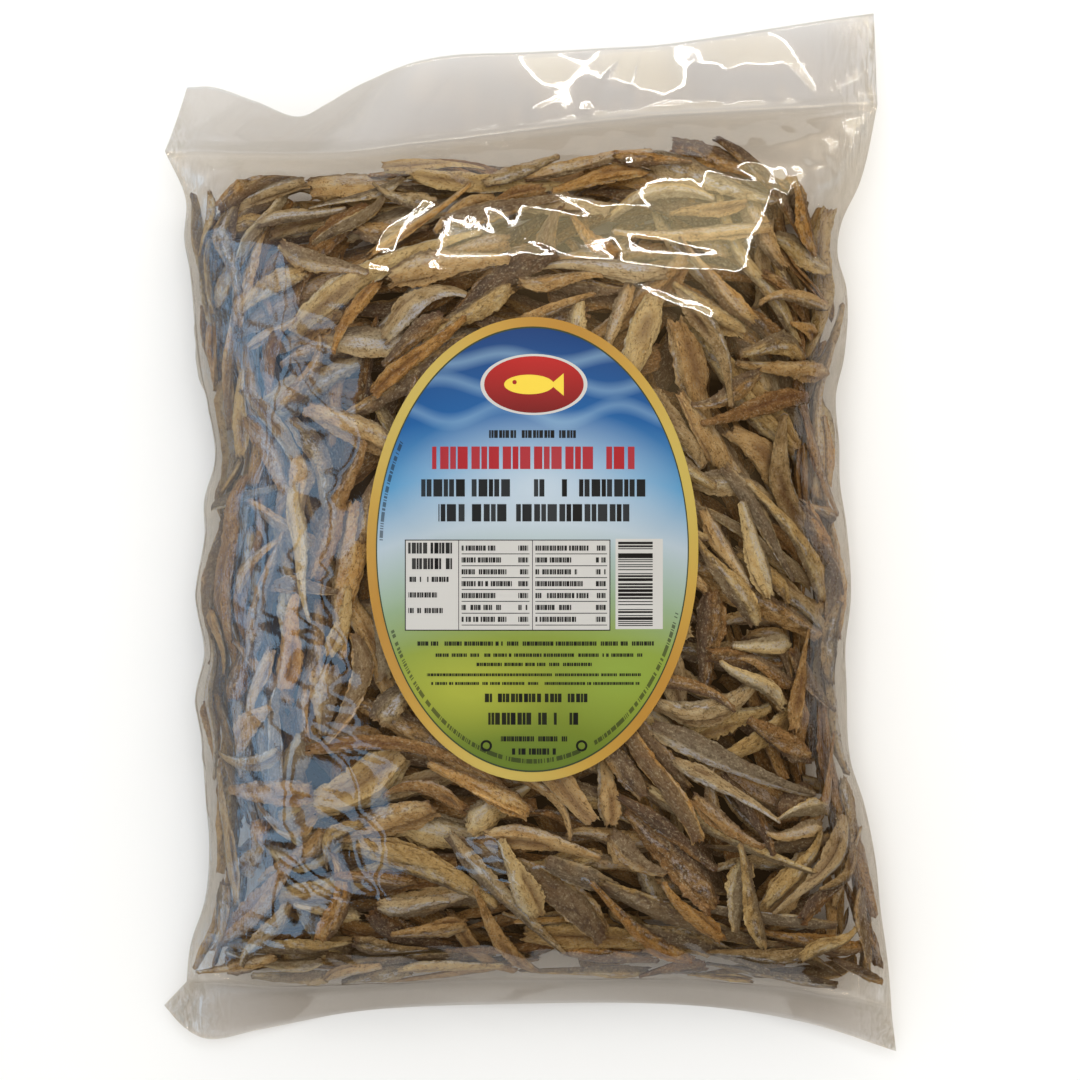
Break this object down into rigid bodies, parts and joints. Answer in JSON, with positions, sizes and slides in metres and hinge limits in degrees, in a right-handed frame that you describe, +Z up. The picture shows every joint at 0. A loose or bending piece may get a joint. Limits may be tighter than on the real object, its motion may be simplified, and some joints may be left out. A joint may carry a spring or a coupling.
{
  "type": "clear bag of dried anchovies",
  "caption": "Sealed clear film pillow bag, lying flat, packed with dried headless anchovies and carrying a plain oval label, with a loose header flap above its top weld.",
  "frame": {"origin": "on the table under the middle of the bag's bounding box", "axes": "+X across the bag, +Y along the bag towards its header flap, +Z up out of the labelled side"},
  "size_m": [0.2666, 0.377, 0.067],
  "materials": {
    "bag": "clear film over tan and silver-brown dried fish",
    "label": "glossy printed label, blue at the top, pale in the middle, yellow-green below, thin gold rim"
  },
  "bodies": {
    "root": {"bag": "bag", "label": "label"}
  },
  "joints": []
}
